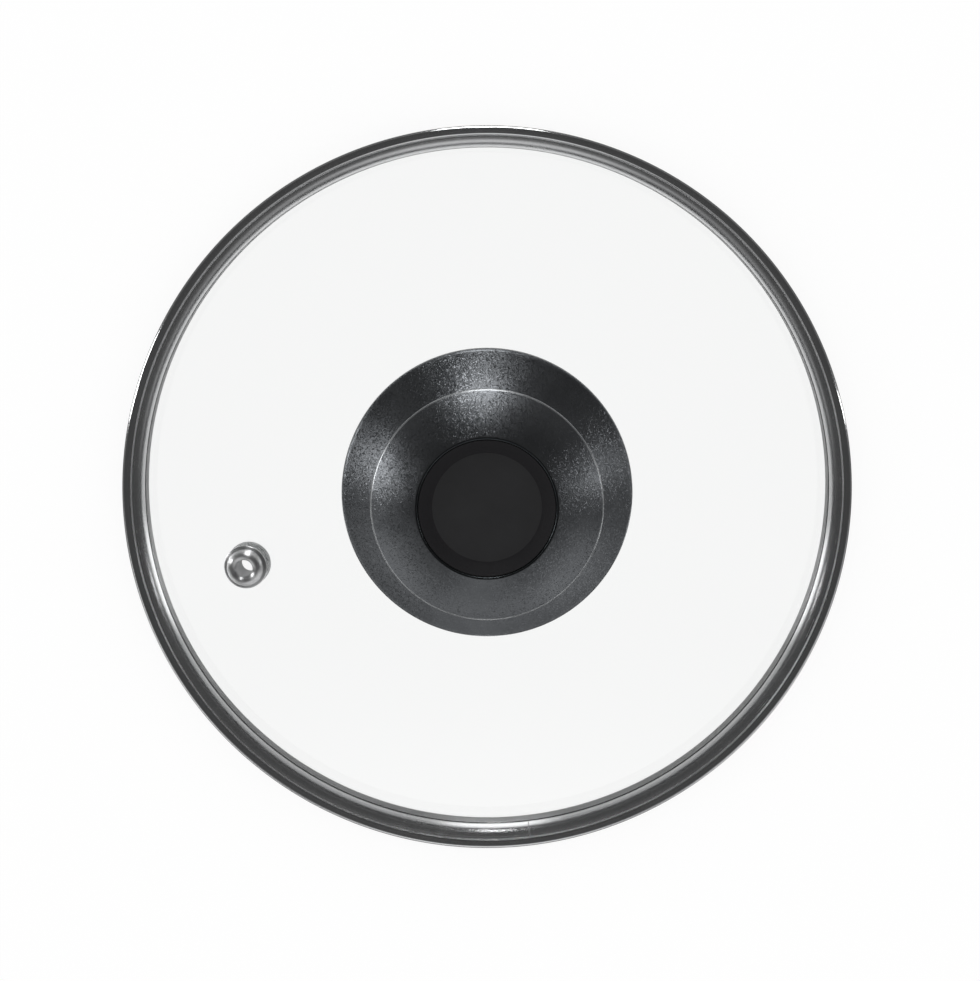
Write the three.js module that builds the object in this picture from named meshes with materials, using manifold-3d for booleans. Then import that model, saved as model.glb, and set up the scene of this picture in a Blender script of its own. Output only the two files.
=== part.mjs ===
// A glass lid for a 16 cm saucepan, in millimetres, +Z up.
//
// A tempered glass dome sits in a channel that is rolled from one strip of stainless steel. The strip
// starts as a foot under the glass, wraps its edge, pinches in over it, rises to a rounded shoulder,
// steps up to a flat flange and ends in a rolled hem. The plug wall drops into the pan and the flange
// rests on the pan's rim. A steel eyelet lines the steam vent. A moulded knob with a wide heat skirt
// is drawn down on the middle of the glass by one screw from below, between soft gaskets.
//
// The origin is on the axis, in the plane of the foot that the lid stands on.
import * as THREE from 'three';
import { mergeVertices } from 'three/addons/utils/BufferGeometryUtils.js';
import Module from 'manifold-3d';

const wasm = await Module();
wasm.setup();

// ---- Driving dimensions -------------------------------------------------------------------------

// Pan and clearances
const PAN_BORE_RADIUS = 80.2;      // inside of the pan's mouth
const PLUG_CLEARANCE = 0.5;        // radial play of the lid in the pan
const FIT_GAP = 0.3;               // gap between two pieces that are fitted together

// Steel band
const SHEET = 0.5;                 // strip thickness
const FLANGE_OVERHANG = 2.8;       // flange reach beyond the pan's bore
const FLANGE_WIDTH = 1.95;         // from the middle of the step to the flange's edge
const GRIP_REACH = 0.6;            // how far the pinch reaches in over the glass
const FOOT_REACH = 1.8;            // how far the foot reaches in under the glass
const FOOT_BEND = 0.6;             // centreline radius of the bend at the foot
const SHOULDER_WALL = 2;           // upright part above the pinch
const SHOULDER_BEND = 1.9;         // radius of the shoulder's visible face
const STEP_RISE = 0.4;             // flange above the shoulder, also the step's width
const HEM_BEND = 0.8;              // centreline radius of the roll at the flange's edge
const HEM_DROP = 0.5;              // straight part of the hem below its roll

// Glass
const GLASS_THICKNESS = 4;
const DOME_RADIUS = 370;           // sphere of the glass's upper face
const EDGE_ROUND = 0.6;            // rounding of the glass's rim
const SCREW_HOLE_RADIUS = 3.6;

// Steam vent
const VENT_DISTANCE = 57.6;        // from the lid's axis, measured flat
const VENT_AZIMUTH = THREE.MathUtils.degToRad(197.8);
const VENT_HOLE_RADIUS = 3.4;      // hole in the glass
const VENT_BORE_RADIUS = 1.95;     // steam passage through the eyelet
const EYELET_WALL = 0.5;
const EYELET_RADIUS = 4.95;
const EYELET_RISE = 2.3;           // collar above the eyelet's own flange
const COLLAR_RADIUS = 2.95;        // crest of the collar
const BUSH_LIP = 0.4;              // thickness of the bush's lip on the glass
const BUSH_WALL = 0.35;
const VENT_WASHER = 0.6;
const CRIMP_WIDTH = 1.4;           // how far the eyelet's foot is flared out

// Knob
const KNOB_GASKET_THICKNESS = 1.2;
const KNOB_GASKET_RADIUS = 10.5;
const SKIRT_RADIUS = 33;
const SKIRT_EDGE_HEIGHT = 2.8;     // foot of the skirt up to the start of its flare
const SKIRT_EDGE_ROUND = 0.9;
const SKIRT_SLOPE = THREE.MathUtils.degToRad(29);
const SKIRT_RUN = 8;               // pull of the slope on the flare
const NECK_RUN = 4;                // pull of the neck on the flare
const SKIRT_WALL = 2.6;
const SKIRT_FOOT_WIDTH = 2.4;
const SKIRT_GAP = 0.35;            // skirt's foot above the glass
const BOSS_RADIUS = 12;
const NECK_RADIUS = 16.5;
const NECK_HEIGHT = 14.8;          // boss face up to the narrowest place
const HEAD_RADIUS = 26.1;
const HEAD_EDGE_HEIGHT = 18.7;     // boss face up to the head's widest place
const HEAD_EDGE_ROUND = 1.2;
const HEAD_DOME_RADIUS = 40.5;
const DISH_RADIUS = 15.4;          // seat for the cap in the top of the head
const DISH_LIP = 0.3;              // rounding of the head at the seat
const RIB_COUNT = 6;
const RIB_THICKNESS = 1.6;

// Cap in the knob's head
const CAP_FLOOR_RADIUS = 12.6;
const CAP_FLOOR_DEPTH = 2.2;       // below the rim of the seat
const CAP_THICKNESS = 1.1;
const CAP_EDGE_DEPTH = 0.5;        // cap's edge below the rim of the seat
const CAP_EDGE_HEIGHT = 1.0;
const CAP_SPIGOT_RADIUS = 11.8;
const CAP_SPIGOT_WALL = 1.2;
const CAP_SPIGOT_LENGTH = 1.7;
const CORE_DEPTH = 3.2;            // hollow under the cap

// Threaded insert and screw
const INSERT_RADIUS = 4;
const INSERT_LENGTH = 12;
const INSERT_RECESS = 0.4;         // insert's face above the boss face
const THREAD_RADIUS = 2.4;
const SCREW_REACH = 9;             // thread inside the insert
const SCREW_HEAD_RADIUS = 5.6;
const SCREW_HEAD_HEIGHT = 2;
const CROSS_LENGTH = 5.4;
const CROSS_WIDTH = 1.1;
const CROSS_DEPTH = 1.4;
const LOWER_GASKET_THICKNESS = 1;
const LOWER_GASKET_RADIUS = 9.4;
const CLAMP_WASHER_THICKNESS = 0.8;
const CLAMP_WASHER_RADIUS = 10;
const LOCK_WASHER_THICKNESS = 1;
const LOCK_WASHER_RADIUS = 4.5;
const LOCK_WASHER_SLIT = 0.8;

// Facets round each turned piece
const RING_STEPS = 64;
const KNOB_STEPS = 48;
const SMALL_STEPS = 24;

// ---- Places that follow from them ---------------------------------------------------------------

const wallRadius = PAN_BORE_RADIUS - PLUG_CLEARANCE - SHEET / 2;      // plug wall's centreline
const flangeRadius = PAN_BORE_RADIUS + FLANGE_OVERHANG;
const glassRadius = wallRadius - SHEET / 2 - FIT_GAP;
const lowerDomeRadius = DOME_RADIUS - GLASS_THICKNESS;

/** Height of a sphere about the origin at a flat distance from its axis. */
const sphereHeight = (sphere, distance) => Math.sqrt(sphere ** 2 - distance ** 2);

// The glass's lower corner hangs over the foot, which fixes the centre of both spheres.
const domeCentre = SHEET + FIT_GAP - sphereHeight(lowerDomeRadius, glassRadius);
const glassTop = (distance) => domeCentre + sphereHeight(DOME_RADIUS, distance);
const glassBottom = (distance) => domeCentre + sphereHeight(lowerDomeRadius, distance);

const knobGasketBottom = domeCentre + DOME_RADIUS;
const bossFace = knobGasketBottom + KNOB_GASKET_THICKNESS;
const lowerGasketTop = glassBottom(LOWER_GASKET_RADIUS) - FIT_GAP / 2;
const clampWasherTop = lowerGasketTop - LOWER_GASKET_THICKNESS;
const lockWasherTop = clampWasherTop - CLAMP_WASHER_THICKNESS;
const screwHeadTop = lockWasherTop - LOCK_WASHER_THICKNESS;
const insertBottom = bossFace + INSERT_RECESS;
const boltHoleRadius = THREAD_RADIUS + FIT_GAP;

const headDomeCentre = bossFace + HEAD_EDGE_HEIGHT + HEAD_EDGE_ROUND / 2
  - sphereHeight(HEAD_DOME_RADIUS, HEAD_RADIUS - HEAD_EDGE_ROUND / 2);
const headTop = (distance) => headDomeCentre + sphereHeight(HEAD_DOME_RADIUS, distance);
const dishRim = headTop(DISH_RADIUS + DISH_LIP);
const capFloor = dishRim - CAP_FLOOR_DEPTH;
const capUnderside = capFloor - CAP_THICKNESS;

// ---- Materials ----------------------------------------------------------------------------------

const clearGlass = new THREE.MeshStandardMaterial({ color: 0xeef4f2, roughness: 0.02, transparent: true, opacity: 0.3 });
const steel = new THREE.MeshStandardMaterial({ color: 0xc4c6c8, roughness: 0.18, metalness: 1 });
const satinSteel = new THREE.MeshStandardMaterial({ color: 0xb4b6b8, roughness: 0.35, metalness: 1 });
const knobPlastic = new THREE.MeshStandardMaterial({ color: 0x3b3e41, roughness: 0.4 });
const capPlastic = new THREE.MeshStandardMaterial({ color: 0x2a2a2c, roughness: 0.6 });
const silicone = new THREE.MeshStandardMaterial({ color: 0x9a9c9a, roughness: 0.7 });
const brass = new THREE.MeshStandardMaterial({ color: 0xb89a56, roughness: 0.35, metalness: 1 });

// ---- Shape helpers ------------------------------------------------------------------------------

const at = (distance, height) => new THREE.Vector2(distance, height);

/** Points on an elliptical arc, angles in degrees, without the point that it starts from. */
function arc(centre, reach, rise, from, to, steps) {
  const points = [];
  for (let step = 1; step <= steps; step += 1) {
    const angle = THREE.MathUtils.degToRad(from + ((to - from) * step) / steps);
    points.push(at(centre.x + reach * Math.cos(angle), centre.y + rise * Math.sin(angle)));
  }
  return points;
}

/** The closed outline of a strip of one thickness that follows a centreline. */
function stripOutline(path, thickness) {
  const sides = [1, -1].map((side) => path.map((point, index) => {
    const before = path[Math.max(index - 1, 0)];
    const after = path[Math.min(index + 1, path.length - 1)];
    const arriving = point.clone().sub(before).normalize();
    const leaving = after.clone().sub(point).normalize();
    if (index === 0) arriving.copy(leaving);
    if (index === path.length - 1) leaving.copy(arriving);
    const along = arriving.clone().add(leaving).normalize();
    const stretch = along.dot(leaving);
    return at(point.x - (side * along.y * thickness) / (2 * stretch),
      point.y + (side * along.x * thickness) / (2 * stretch));
  }));
  return [...sides[0], ...sides[1].reverse()];
}

/** A solid of revolution about Z from an outline of (distance, height) points. */
function turned(outline, steps) {
  const signedArea = THREE.ShapeUtils.area(outline);
  const points = signedArea > 0 ? [...outline] : [...outline].reverse();
  const onAxis = points.filter((point) => point.x === 0).length;
  if (onAxis === 0) {
    points.push(points[0].clone());
  } else {
    const start = points.findIndex((point, index) => point.x === 0
      && points[(index + points.length - 1) % points.length].x === 0);
    points.push(...points.splice(0, start));
  }
  return new THREE.LatheGeometry(points, steps).rotateX(Math.PI / 2);
}

/** The same closed mesh as a solid that can be cut and joined. */
function asSolid(geometry) {
  const bare = geometry.clone();
  bare.deleteAttribute('normal');
  bare.deleteAttribute('uv');
  const merged = mergeVertices(bare, 1e-5);
  return new wasm.Manifold(new wasm.Mesh({
    numProp: 3,
    vertProperties: new Float32Array(merged.attributes.position.array),
    triVerts: new Uint32Array(merged.index.array),
  }));
}

/** A solid as a plain geometry. */
function asGeometry(solid) {
  const mesh = solid.getMesh();
  const geometry = new THREE.BufferGeometry();
  geometry.setAttribute('position', new THREE.BufferAttribute(mesh.vertProperties, 3));
  geometry.setIndex(new THREE.BufferAttribute(mesh.triVerts, 1));
  geometry.computeVertexNormals();
  return geometry;
}

const lid = new THREE.Group();

/** A named piece of the lid. */
function piece(name, geometry, material, parent = lid) {
  const mesh = new THREE.Mesh(geometry, material);
  mesh.name = name;
  parent.add(mesh);
  return mesh;
}

// ---- Steel band ---------------------------------------------------------------------------------

function bandCentreline() {
  const footRadius = glassRadius - FOOT_REACH;
  const pinchRadius = glassRadius - GRIP_REACH + SHEET / 2;
  const pinchBend = (wallRadius - pinchRadius) / 2;
  const pinchMiddle = (wallRadius + pinchRadius) / 2;
  const wallTop = glassTop(glassRadius) + FIT_GAP + SHEET / 2 - pinchBend;
  const pinchTop = wallTop + 2 * pinchBend;
  const bend = SHOULDER_BEND - SHEET / 2;
  const crownHeight = pinchTop + SHOULDER_WALL + bend;
  const stepRadius = flangeRadius - FLANGE_WIDTH;
  const flangeHeight = crownHeight + STEP_RISE;
  const hemRadius = flangeRadius - SHEET / 2;
  return [
    at(footRadius, SHEET / 2),
    at(wallRadius - FOOT_BEND, SHEET / 2),
    ...arc(at(wallRadius - FOOT_BEND, SHEET / 2 + FOOT_BEND), FOOT_BEND, FOOT_BEND, -90, 0, 2),
    at(wallRadius, wallTop),
    ...arc(at(pinchMiddle, wallTop), pinchBend, pinchBend, 0, 90, 2),
    ...arc(at(pinchMiddle, pinchTop), pinchBend, pinchBend, -90, -180, 2),
    at(pinchRadius, pinchTop + SHOULDER_WALL),
    ...arc(at(pinchRadius + bend, pinchTop + SHOULDER_WALL), bend, bend, 180, 90, 4),
    at(stepRadius - STEP_RISE / 2, crownHeight),
    at(stepRadius + STEP_RISE / 2, flangeHeight),
    at(hemRadius - HEM_BEND, flangeHeight),
    ...arc(at(hemRadius - HEM_BEND, flangeHeight - HEM_BEND), HEM_BEND, HEM_BEND, 90, 0, 3),
    at(hemRadius, flangeHeight - HEM_BEND - HEM_DROP),
  ];
}

piece('rim_band', turned(stripOutline(bandCentreline(), SHEET), RING_STEPS), steel);

// ---- Glass --------------------------------------------------------------------------------------

function domeOutline() {
  const steps = 6;
  const upper = [];
  const lower = [];
  for (let step = 0; step <= steps; step += 1) {
    const share = step / steps;
    const distance = SCREW_HOLE_RADIUS + (glassRadius - EDGE_ROUND - SCREW_HOLE_RADIUS) * share;
    upper.push(at(distance, glassTop(distance)));
    lower.push(at(distance, glassBottom(distance)));
  }
  const rim = [
    at(glassRadius, glassTop(glassRadius) - EDGE_ROUND),
    at(glassRadius, glassBottom(glassRadius) + EDGE_ROUND),
  ];
  return [...upper, ...rim, ...lower.reverse()];
}

// A frame on the vent's axis, which stands square to the dome: its origin is on the glass's upper face.
const ventTilt = Math.asin(VENT_DISTANCE / DOME_RADIUS);
const ventSwing = new THREE.Group();
ventSwing.position.z = domeCentre;
ventSwing.rotation.z = VENT_AZIMUTH;
const ventLean = new THREE.Group();
ventLean.rotation.y = ventTilt;
const ventFrame = new THREE.Group();
ventFrame.position.z = DOME_RADIUS;
ventSwing.add(ventLean);
ventLean.add(ventFrame);
lid.add(ventSwing);

function glassDome() {
  ventFrame.updateWorldMatrix(true, false);
  const drill = new THREE.CylinderGeometry(VENT_HOLE_RADIUS, VENT_HOLE_RADIUS, 4 * GLASS_THICKNESS, SMALL_STEPS)
    .rotateX(Math.PI / 2)
    .applyMatrix4(ventFrame.matrixWorld);
  return asGeometry(asSolid(turned(domeOutline(), RING_STEPS)).subtract(asSolid(drill)));
}

piece('glass_dome', glassDome(), clearGlass);

// ---- Steam vent ---------------------------------------------------------------------------------

const tubeRadius = VENT_BORE_RADIUS + EYELET_WALL;
const bushBore = tubeRadius + FIT_GAP;
const bushTop = FIT_GAP + BUSH_LIP;
const eyeletSeat = bushTop + FIT_GAP;
const ventWasherTop = -GLASS_THICKNESS - FIT_GAP;
const crimpTop = ventWasherTop - VENT_WASHER - FIT_GAP;

function eyeletOutline() {
  const flangeTop = eyeletSeat + EYELET_WALL;
  const collarReach = EYELET_RADIUS - 1.5 * EYELET_WALL - COLLAR_RADIUS;
  const lipReach = COLLAR_RADIUS - VENT_BORE_RADIUS;
  const collarTop = flangeTop + EYELET_RISE;
  return [
    at(VENT_BORE_RADIUS, crimpTop - EYELET_WALL),
    at(tubeRadius + CRIMP_WIDTH, crimpTop - EYELET_WALL),
    at(tubeRadius + CRIMP_WIDTH, crimpTop),
    at(tubeRadius, crimpTop),
    at(tubeRadius, eyeletSeat),
    at(EYELET_RADIUS - EYELET_WALL / 2, eyeletSeat),
    at(EYELET_RADIUS, eyeletSeat + EYELET_WALL / 2),
    at(EYELET_RADIUS - EYELET_WALL / 2, flangeTop),
    at(COLLAR_RADIUS + collarReach, flangeTop),
    ...arc(at(COLLAR_RADIUS, flangeTop), collarReach, EYELET_RISE, 0, 90, 4),
    ...arc(at(COLLAR_RADIUS, collarTop - lipReach), lipReach, lipReach, 90, 180, 2),
  ];
}

function bushOutline() {
  const bushRadius = bushBore + BUSH_WALL;
  return [
    at(bushBore, ventWasherTop),
    at(bushRadius, ventWasherTop),
    at(bushRadius, FIT_GAP),
    at(EYELET_RADIUS - EYELET_WALL, FIT_GAP),
    at(EYELET_RADIUS - EYELET_WALL, bushTop),
    at(bushBore, bushTop),
  ];
}

/** A flat ring from its bore, radius, underside and thickness. */
const ring = (bore, radius, bottom, thickness) => [
  at(bore, bottom), at(radius, bottom), at(radius, bottom + thickness), at(bore, bottom + thickness),
];

piece('vent_eyelet', turned(eyeletOutline(), SMALL_STEPS), steel, ventFrame);
piece('vent_bush', turned(bushOutline(), SMALL_STEPS), silicone, ventFrame);
piece('vent_washer', turned(
  ring(bushBore, EYELET_RADIUS, ventWasherTop - FIT_GAP - VENT_WASHER + FIT_GAP / 2, VENT_WASHER),
  SMALL_STEPS,
), satinSteel, ventFrame);

// ---- Knob ---------------------------------------------------------------------------------------

const skirtFoot = glassTop(SKIRT_RADIUS - SKIRT_FOOT_WIDTH) + SKIRT_GAP;
const flareStart = at(SKIRT_RADIUS - SKIRT_EDGE_ROUND, skirtFoot + SKIRT_EDGE_HEIGHT);
const neck = at(NECK_RADIUS, bossFace + NECK_HEIGHT);
const flare = new THREE.CubicBezierCurve(
  flareStart,
  at(flareStart.x - SKIRT_RUN * Math.cos(SKIRT_SLOPE), flareStart.y + SKIRT_RUN * Math.sin(SKIRT_SLOPE)),
  at(neck.x, neck.y - NECK_RUN),
  neck,
);

/** Points on the flare, moved square to it into the wall, from one share of its length to another. */
function flarePoints(depth, from, to, steps) {
  const points = [];
  for (let step = 0; step <= steps; step += 1) {
    const share = from + ((to - from) * step) / steps;
    const point = flare.getPoint(share);
    const tangent = flare.getTangent(share);
    points.push(at(point.x - depth * tangent.y, point.y + depth * tangent.x));
  }
  return points;
}

function knobOutline() {
  const headEdge = bossFace + HEAD_EDGE_HEIGHT;
  const headUnderside = headEdge - HEAD_EDGE_ROUND;
  const fillet = (headUnderside - neck.y);
  const insertTop = insertBottom + INSERT_LENGTH + FIT_GAP;
  const hollow = flarePoints(SKIRT_WALL, 0.8, 0.12, 4);
  const dome = [];
  const steps = 6;
  for (let step = 0; step <= steps; step += 1) {
    const outer = HEAD_RADIUS - HEAD_EDGE_ROUND / 2;
    const distance = outer + ((DISH_RADIUS + DISH_LIP - outer) * step) / steps;
    dome.push(at(distance, headTop(distance)));
  }
  return [
    at(0, insertTop),
    at(INSERT_RADIUS + FIT_GAP, insertTop),
    at(INSERT_RADIUS + FIT_GAP, bossFace),
    at(BOSS_RADIUS, bossFace),
    at(BOSS_RADIUS, hollow[0].y),
    ...hollow,
    at(SKIRT_RADIUS - SKIRT_FOOT_WIDTH, skirtFoot),
    at(SKIRT_RADIUS - SKIRT_EDGE_ROUND, skirtFoot),
    at(SKIRT_RADIUS, skirtFoot + SKIRT_EDGE_ROUND),
    at(SKIRT_RADIUS, flareStart.y - SKIRT_EDGE_ROUND),
    ...flarePoints(0, 0, 1, 8),
    ...arc(at(neck.x + fillet, neck.y), fillet, fillet, 180, 90, 3),
    at(HEAD_RADIUS - HEAD_EDGE_ROUND, headUnderside),
    at(HEAD_RADIUS, headEdge),
    ...dome,
    at(DISH_RADIUS, dishRim - DISH_LIP),
    at(DISH_RADIUS, capUnderside + FIT_GAP),
    at(CAP_SPIGOT_RADIUS + FIT_GAP, capUnderside - FIT_GAP),
    at(CAP_SPIGOT_RADIUS + FIT_GAP, capUnderside - CORE_DEPTH),
    at(0, capUnderside - CORE_DEPTH),
  ];
}

function knobBody() {
  let body = asSolid(turned(knobOutline(), KNOB_STEPS));
  const web = flarePoints(SKIRT_WALL / 2, 0.88, 0.1, 3);
  const profile = new THREE.Shape([
    at(BOSS_RADIUS - RIB_THICKNESS, bossFace + RIB_THICKNESS / 2),
    at(SKIRT_RADIUS - SKIRT_FOOT_WIDTH / 2, skirtFoot + SKIRT_EDGE_ROUND),
    ...[...web].reverse(),
    at(BOSS_RADIUS - RIB_THICKNESS, web[0].y),
  ]);
  for (let rib = 0; rib < RIB_COUNT; rib += 1) {
    const slab = new THREE.ExtrudeGeometry(profile, { depth: RIB_THICKNESS, bevelEnabled: false })
      .translate(0, 0, -RIB_THICKNESS / 2)
      .rotateX(Math.PI / 2)
      .rotateZ((rib * 2 * Math.PI) / RIB_COUNT);
    body = body.add(asSolid(slab));
  }
  return asGeometry(body);
}

piece('knob_body', knobBody(), knobPlastic);

const capOutline = [
  at(0, capFloor),
  at(CAP_FLOOR_RADIUS, capFloor),
  at(DISH_RADIUS - FIT_GAP, dishRim - CAP_EDGE_DEPTH),
  at(DISH_RADIUS - FIT_GAP, dishRim - CAP_EDGE_DEPTH - CAP_EDGE_HEIGHT),
  at(CAP_FLOOR_RADIUS, capUnderside),
  at(CAP_SPIGOT_RADIUS, capUnderside),
  at(CAP_SPIGOT_RADIUS, capUnderside - CAP_SPIGOT_LENGTH),
  at(CAP_SPIGOT_RADIUS - CAP_SPIGOT_WALL, capUnderside - CAP_SPIGOT_LENGTH),
  at(CAP_SPIGOT_RADIUS - CAP_SPIGOT_WALL, capUnderside),
  at(0, capUnderside),
];
piece('knob_cap', turned(capOutline, KNOB_STEPS), capPlastic);

piece('knob_insert', turned(ring(boltHoleRadius, INSERT_RADIUS, insertBottom, INSERT_LENGTH), SMALL_STEPS), brass);
piece('knob_gasket', turned(
  ring(SCREW_HOLE_RADIUS, KNOB_GASKET_RADIUS, knobGasketBottom, KNOB_GASKET_THICKNESS),
  KNOB_STEPS,
), silicone);

// ---- Screw and washers under the glass ----------------------------------------------------------

piece('lower_gasket', turned(
  ring(boltHoleRadius, LOWER_GASKET_RADIUS, clampWasherTop, LOWER_GASKET_THICKNESS),
  KNOB_STEPS,
), silicone);
piece('clamp_washer', turned(
  ring(boltHoleRadius, CLAMP_WASHER_RADIUS, lockWasherTop, CLAMP_WASHER_THICKNESS),
  KNOB_STEPS,
), satinSteel);

function lockWasher() {
  const whole = turned(
    ring(boltHoleRadius, LOCK_WASHER_RADIUS, screwHeadTop, LOCK_WASHER_THICKNESS),
    SMALL_STEPS,
  );
  const slit = new THREE.BoxGeometry(2 * LOCK_WASHER_RADIUS, LOCK_WASHER_SLIT, 4 * LOCK_WASHER_THICKNESS)
    .translate(LOCK_WASHER_RADIUS, 0, screwHeadTop);
  return asGeometry(asSolid(whole).subtract(asSolid(slit)));
}
piece('lock_washer', lockWasher(), steel);

function knobScrew() {
  const threadTop = insertBottom + SCREW_REACH;
  const headBottom = screwHeadTop - SCREW_HEAD_HEIGHT;
  const rimHeight = SCREW_HEAD_HEIGHT / 4;
  const outline = [
    at(0, headBottom),
    ...arc(at(0, screwHeadTop - rimHeight), SCREW_HEAD_RADIUS, SCREW_HEAD_HEIGHT - rimHeight, -90, 0, 4),
    at(SCREW_HEAD_RADIUS, screwHeadTop),
    at(THREAD_RADIUS, screwHeadTop),
    at(THREAD_RADIUS, threadTop - THREAD_RADIUS / 3),
    at(THREAD_RADIUS * 0.7, threadTop),
    at(0, threadTop),
  ];
  let screw = asSolid(turned(outline, SMALL_STEPS));
  for (const quarter of [0, 1]) {
    const slot = new THREE.BoxGeometry(CROSS_LENGTH, CROSS_WIDTH, 2 * CROSS_DEPTH)
      .rotateZ((quarter * Math.PI) / 2)
      .translate(0, 0, headBottom);
    screw = screw.subtract(asSolid(slot));
  }
  return asGeometry(screw);
}
piece('knob_screw', knobScrew(), steel);

export default lid;
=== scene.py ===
"""Glass lid for a 16 cm saucepan: its dressed pieces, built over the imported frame.

Every size in the classes is in millimetres, measured from the lid's axis and from the plane of the foot that the
lid stands on. A piece is drawn as an outline in the plane of radius and height, turned about the axis, and brought
to metres at the end. The steam vent is drawn in its own frame, which stands square to the dome.
"""

import logging
import math
from collections.abc import Iterator
from dataclasses import dataclass
from enum import Enum
from typing import Any

import bmesh
import bpy
from mathutils import Matrix, Vector
from mathutils.geometry import interpolate_bezier


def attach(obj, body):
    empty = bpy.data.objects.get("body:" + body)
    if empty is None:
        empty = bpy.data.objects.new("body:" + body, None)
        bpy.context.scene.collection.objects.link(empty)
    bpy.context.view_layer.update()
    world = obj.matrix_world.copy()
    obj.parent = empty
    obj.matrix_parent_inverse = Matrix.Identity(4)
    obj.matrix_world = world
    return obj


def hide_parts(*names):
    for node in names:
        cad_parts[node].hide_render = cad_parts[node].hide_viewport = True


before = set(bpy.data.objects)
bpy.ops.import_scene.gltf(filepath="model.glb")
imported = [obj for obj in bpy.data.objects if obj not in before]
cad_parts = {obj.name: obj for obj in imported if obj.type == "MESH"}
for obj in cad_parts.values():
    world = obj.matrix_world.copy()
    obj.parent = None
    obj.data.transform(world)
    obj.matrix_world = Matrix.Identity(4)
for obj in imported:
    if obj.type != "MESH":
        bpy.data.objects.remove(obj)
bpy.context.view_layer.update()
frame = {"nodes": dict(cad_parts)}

log = logging.getLogger("lid")

MILLIMETRE = 0.001
MERGE_DISTANCE = 1e-4
FULL_TURN = 360.0
SHARP_ANGLE = math.radians(38)
ROUND_PULL = 0.5523

Colour = tuple[float, float, float]
Corner = tuple[float, ...]
Material = bpy.types.Material
Mesh = bmesh.types.BMesh
Piece = bpy.types.Object
Point = tuple[float, float]
Socket = bpy.types.NodeSocket


class Slot(Enum):
    """The record's material slots."""

    GLASS = "glass"
    RIM_STEEL = "rim_steel"
    WASHER_STEEL = "washer_steel"
    KNOB_PLASTIC = "knob_plastic"
    CAP_PLASTIC = "cap_plastic"
    SILICONE = "silicone"
    BRASS = "brass"


# ---- Drawing and turning ----


class Outline:
    """An outline in the plane of radius and height, in millimetres, drawn point by point and then turned."""

    def __init__(self, *corners: Corner) -> None:
        """Draw the first corners, as lines() does.

        Args:
            corners: The corners.
        """
        self.mesh = bmesh.new()
        self.first = self.tip = None
        self.bends: list[tuple[bmesh.types.BMVert, float, int]] = []
        self.lines(*corners)

    def lines(self, *corners: Corner) -> "Outline":
        """Draw straight lines from corner to corner.

        Args:
            corners: Each corner's radius and height and, where it is rounded, its bend and the facets in it.

        Returns:
            The outline itself.
        """
        for radius, height, *bend in corners:
            corner = self.mesh.verts.new((radius, 0.0, height))
            if self.tip is None:
                self.first = corner
            else:
                self.mesh.edges.new((self.tip, corner))
            self.tip = corner
            if bend:
                self.bend(*bend)
        return self

    def bend(self, radius: float, facets: int = 4) -> None:
        """Note that the last point is to be rounded."""
        self.bends.append((self.tip, radius, facets))

    def arc(self, centre_height: float, to_radius: float, facets: int) -> None:
        """Follow a sphere about a point on the axis.

        Args:
            centre_height: Height of the sphere's centre.
            to_radius: Distance from the axis at which the arc ends.
            facets: Number of facets along the arc.
        """
        centre = Vector((0.0, 0.0, centre_height))
        sphere = (self.tip.co - centre).length
        angle = math.asin(to_radius / sphere) - math.asin(self.tip.co.x / sphere)
        spun = bmesh.ops.spin(
            self.mesh, geom=[self.tip], cent=centre, axis=(0.0, 1.0, 0.0), angle=angle, steps=facets,
        )
        self.tip = next(item for item in spun["geom_last"] if isinstance(item, bmesh.types.BMVert))

    def curve(self, leaving: Point, arriving: Point, end: Point, facets: int) -> None:
        """Draw a free curve.

        Args:
            leaving: Handle of the point that the curve starts from.
            arriving: Handle of the point that it ends in.
            end: Radius and height of its end.
            facets: Number of facets along the curve.
        """
        handles = [Vector((radius, 0.0, height)) for radius, height in (leaving, arriving, end)]
        points = interpolate_bezier(self.tip.co, *handles, facets + 1)[1:]
        self.lines(*((point.x, point.z) for point in points))

    def close(self) -> "Outline":
        """Join the last point to the first."""
        self.mesh.edges.new((self.tip, self.first))
        return self

    def rounded(self) -> Mesh:
        """Round the corners that have a bend.

        Returns:
            The outline as a wire.
        """
        for corner, bend, facets in self.bends:
            sides = [edge.other_vert(corner).co - corner.co for edge in corner.link_edges]
            turn = math.pi - sides[0].angle(sides[1])
            bmesh.ops.bevel(
                self.mesh, geom=[corner], offset=bend * math.tan(turn / 2), offset_type="OFFSET", segments=facets,
                profile=0.5, affect="VERTICES", material=-1,
            )
        return self.mesh

    def turned(self, steps: int, span: float = FULL_TURN, start: float = 0.0, closed: bool = True) -> Mesh:
        """Turn the outline about the axis.

        Args:
            steps: Number of facets round the piece.
            span: Angle that it is turned through, in degrees.
            start: Bearing that it starts from, in degrees.
            closed: Whether the two ends of a part of a turn are filled.

        Returns:
            The turned mesh, with its faces pointing outwards.
        """
        mesh = self.rounded()
        bmesh.ops.spin(
            mesh, geom=[*mesh.verts, *mesh.edges], axis=(0.0, 0.0, 1.0), angle=math.radians(span), steps=steps,
            use_merge=span == FULL_TURN,
        )
        bmesh.ops.remove_doubles(mesh, verts=mesh.verts, dist=MERGE_DISTANCE)
        if closed and span != FULL_TURN:
            bmesh.ops.holes_fill(mesh, edges=[edge for edge in mesh.edges if edge.is_boundary], sides=0)
        bmesh.ops.recalc_face_normals(mesh, faces=mesh.faces)
        bmesh.ops.rotate(mesh, verts=mesh.verts, matrix=Matrix.Rotation(math.radians(start), 3, "Z"))
        return mesh


def washer(bore: float, radius: float, bottom: float, thickness: float, bend: float) -> Outline:
    """Draw the section of a flat ring from its underside's height, with one bend for its four edges."""
    corners = (bore, bottom), (radius, bottom), (radius, bottom + thickness), (bore, bottom + thickness)
    return Outline(*((*corner, bend) for corner in corners)).close()


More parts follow.
